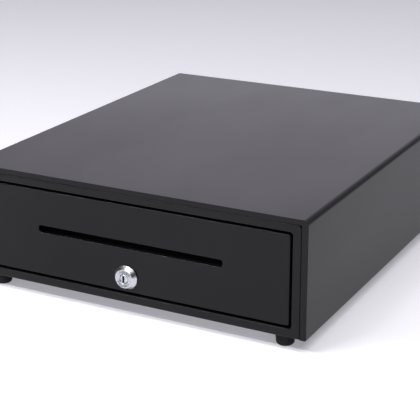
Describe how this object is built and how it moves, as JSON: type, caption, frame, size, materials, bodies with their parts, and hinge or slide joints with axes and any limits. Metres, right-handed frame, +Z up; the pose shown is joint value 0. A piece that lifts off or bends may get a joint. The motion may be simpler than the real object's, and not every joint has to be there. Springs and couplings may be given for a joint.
{
  "type": "cash drawer",
  "caption": "Compact steel cash drawer with a key lock, a media slot, a lift-out till with sprung bill clips, side rollers and a solenoid latch.",
  "frame": {"origin": "middle of the footprint, on the surface that the feet stand on", "axes": "+Z up; the drawer opens towards -Y; +X to the right seen from the front"},
  "size_m": [0.35, 0.4114, 0.121],
  "materials": {
    "case_paint": "black powder coat, fine texture, satin",
    "front_paint": "black paint, semi-gloss",
    "rubber": "black moulded rubber, matt",
    "zinc": "bright zinc-plated sheet steel",
    "lock_metal": "chrome-plated, turned face",
    "nylon": "natural nylon",
    "till_plastic": "black moulded ABS, fine texture",
    "clip_plastic": "black moulded nylon",
    "spring_steel": "drawn spring wire",
    "socket_plastic": "black moulded plastic",
    "coil_wrap": "varnished winding tape"
  },
  "bodies": {
    "case": {"cover": "case_paint", "front_frame": "case_paint", "base_plate": "zinc", "rear_panel": "case_paint", "foot_front_left": "rubber", "foot_front_right": "rubber", "foot_rear_left": "rubber", "foot_rear_right": "rubber", "rear_screw_1": "zinc", "rear_screw_2": "zinc", "rear_screw_3": "zinc", "rear_screw_4": "zinc", "rail_left": "zinc", "rail_right": "zinc", "rail_pin_left": "zinc", "rail_pin_right": "zinc", "inlet_socket": "socket_plastic", "latch_bracket": "zinc", "latch_pin": "zinc", "latch_spring": "spring_steel", "solenoid_frame": "zinc", "solenoid_coil": "coil_wrap", "eject_guide": "zinc", "eject_spring": "spring_steel", "switch_body": "socket_plastic"},
    "drawer": {"drawer_pan": "zinc", "drawer_front": "front_paint", "runner_left": "zinc", "runner_right": "zinc", "runner_pin_left": "zinc", "runner_pin_right": "zinc", "striker": "zinc", "lock_barrel": "lock_metal", "lock_nut": "zinc", "till": "till_plastic", "coin_tray": "till_plastic", "clip_rod": "zinc", "clip_spring_1": "spring_steel", "clip_spring_2": "spring_steel", "clip_spring_3": "spring_steel", "clip_spring_4": "spring_steel"},
    "rail_wheel_left": {"rail_roller_left": "nylon"},
    "rail_wheel_right": {"rail_roller_right": "nylon"},
    "runner_wheel_left": {"runner_roller_left": "nylon"},
    "runner_wheel_right": {"runner_roller_right": "nylon"},
    "key_cylinder": {"lock_plug": "lock_metal", "lock_cam": "zinc", "cam_screw": "zinc"},
    "clip_1": {"bill_clip_1": "clip_plastic"},
    "clip_2": {"bill_clip_2": "clip_plastic"},
    "clip_3": {"bill_clip_3": "clip_plastic"},
    "clip_4": {"bill_clip_4": "clip_plastic"},
    "latch": {"latch_hook": "zinc"},
    "plunger": {"solenoid_plunger": "zinc", "plunger_pin": "zinc"},
    "ejector": {"eject_plunger": "zinc"},
    "switch_leaf": {"switch_lever": "spring_steel"}
  },
  "joints": [
    {"name": "drawer_slide", "type": "slide", "parent": "case", "child": "drawer", "axis": [0, -1, 0], "range_m": [0, 0.28]},
    {"name": "rail_roller_left_spin", "type": "hinge", "parent": "case", "child": "rail_wheel_left", "pos_m": [-0.157, -0.178, 0.0405], "axis": [1, 0, 0], "range_deg": [0, 1890]},
    {"name": "runner_roller_left_spin", "type": "hinge", "parent": "drawer", "child": "runner_wheel_left", "pos_m": [-0.1562, 0.1215, 0.0368], "axis": [1, 0, 0], "range_deg": [0, 1890]},
    {"name": "rail_roller_right_spin", "type": "hinge", "parent": "case", "child": "rail_wheel_right", "pos_m": [0.157, -0.178, 0.0405], "axis": [1, 0, 0], "range_deg": [0, 1890]},
    {"name": "runner_roller_right_spin", "type": "hinge", "parent": "drawer", "child": "runner_wheel_right", "pos_m": [0.1562, 0.1215, 0.0368], "axis": [1, 0, 0], "range_deg": [0, 1890]},
    {"name": "key_turn", "type": "hinge", "parent": "drawer", "child": "key_cylinder", "pos_m": [-0.0024, -0.20115, 0.0371], "axis": [0, 1, 0], "range_deg": [0, 90]},
    {"name": "bill_clip_1_lift", "type": "hinge", "parent": "drawer", "child": "clip_1", "pos_m": [-0.11055, 0.119, 0.0895], "axis": [-1, 0, 0], "range_deg": [0, 40], "stiffness_Nm_per_rad": 0.03, "springref_deg": -45.84},
    {"name": "bill_clip_2_lift", "type": "hinge", "parent": "drawer", "child": "clip_2", "pos_m": [-0.03685, 0.119, 0.0895], "axis": [-1, 0, 0], "range_deg": [0, 40], "stiffness_Nm_per_rad": 0.03, "springref_deg": -45.84},
    {"name": "bill_clip_3_lift", "type": "hinge", "parent": "drawer", "child": "clip_3", "pos_m": [0.03685, 0.119, 0.0895], "axis": [-1, 0, 0], "range_deg": [0, 40], "stiffness_Nm_per_rad": 0.03, "springref_deg": -45.84},
    {"name": "bill_clip_4_lift", "type": "hinge", "parent": "drawer", "child": "clip_4", "pos_m": [0.11055, 0.119, 0.0895], "axis": [-1, 0, 0], "range_deg": [0, 40], "stiffness_Nm_per_rad": 0.03, "springref_deg": -45.84},
    {"name": "latch_turn", "type": "hinge", "parent": "case", "child": "latch", "pos_m": [0, 0.164, 0.046], "axis": [1, 0, 0], "range_deg": [0, 10]},
    {"name": "plunger_slide", "type": "slide", "parent": "case", "child": "plunger", "axis": [0, -1, 0], "range_m": [0, 0.00279], "stiffness_N_per_m": 200, "springref_m": -0.0016},
    {"name": "ejector_press", "type": "slide", "parent": "case", "child": "ejector", "axis": [0, 1, 0], "range_m": [0, 0.0015], "stiffness_N_per_m": 300, "springref_m": -0.01},
    {"name": "switch_leaf_press", "type": "hinge", "parent": "case", "child": "switch_leaf", "pos_m": [-0.069, 0.144, 0.0235], "axis": [0, 0, 1], "range_deg": [0, 4], "stiffness_Nm_per_rad": 0.02, "springref_deg": -5.73}
  ],
  "couplings": [
    {"joint": "rail_roller_left_spin", "follows": "drawer_slide", "rad_per_m": 117.65},
    {"joint": "runner_roller_left_spin", "follows": "drawer_slide", "rad_per_m": 117.65},
    {"joint": "rail_roller_right_spin", "follows": "drawer_slide", "rad_per_m": 117.65},
    {"joint": "runner_roller_right_spin", "follows": "drawer_slide", "rad_per_m": 117.65},
    {"joint": "latch_turn", "follows": "plunger_slide", "rad_per_m": 62.5}
  ]
}
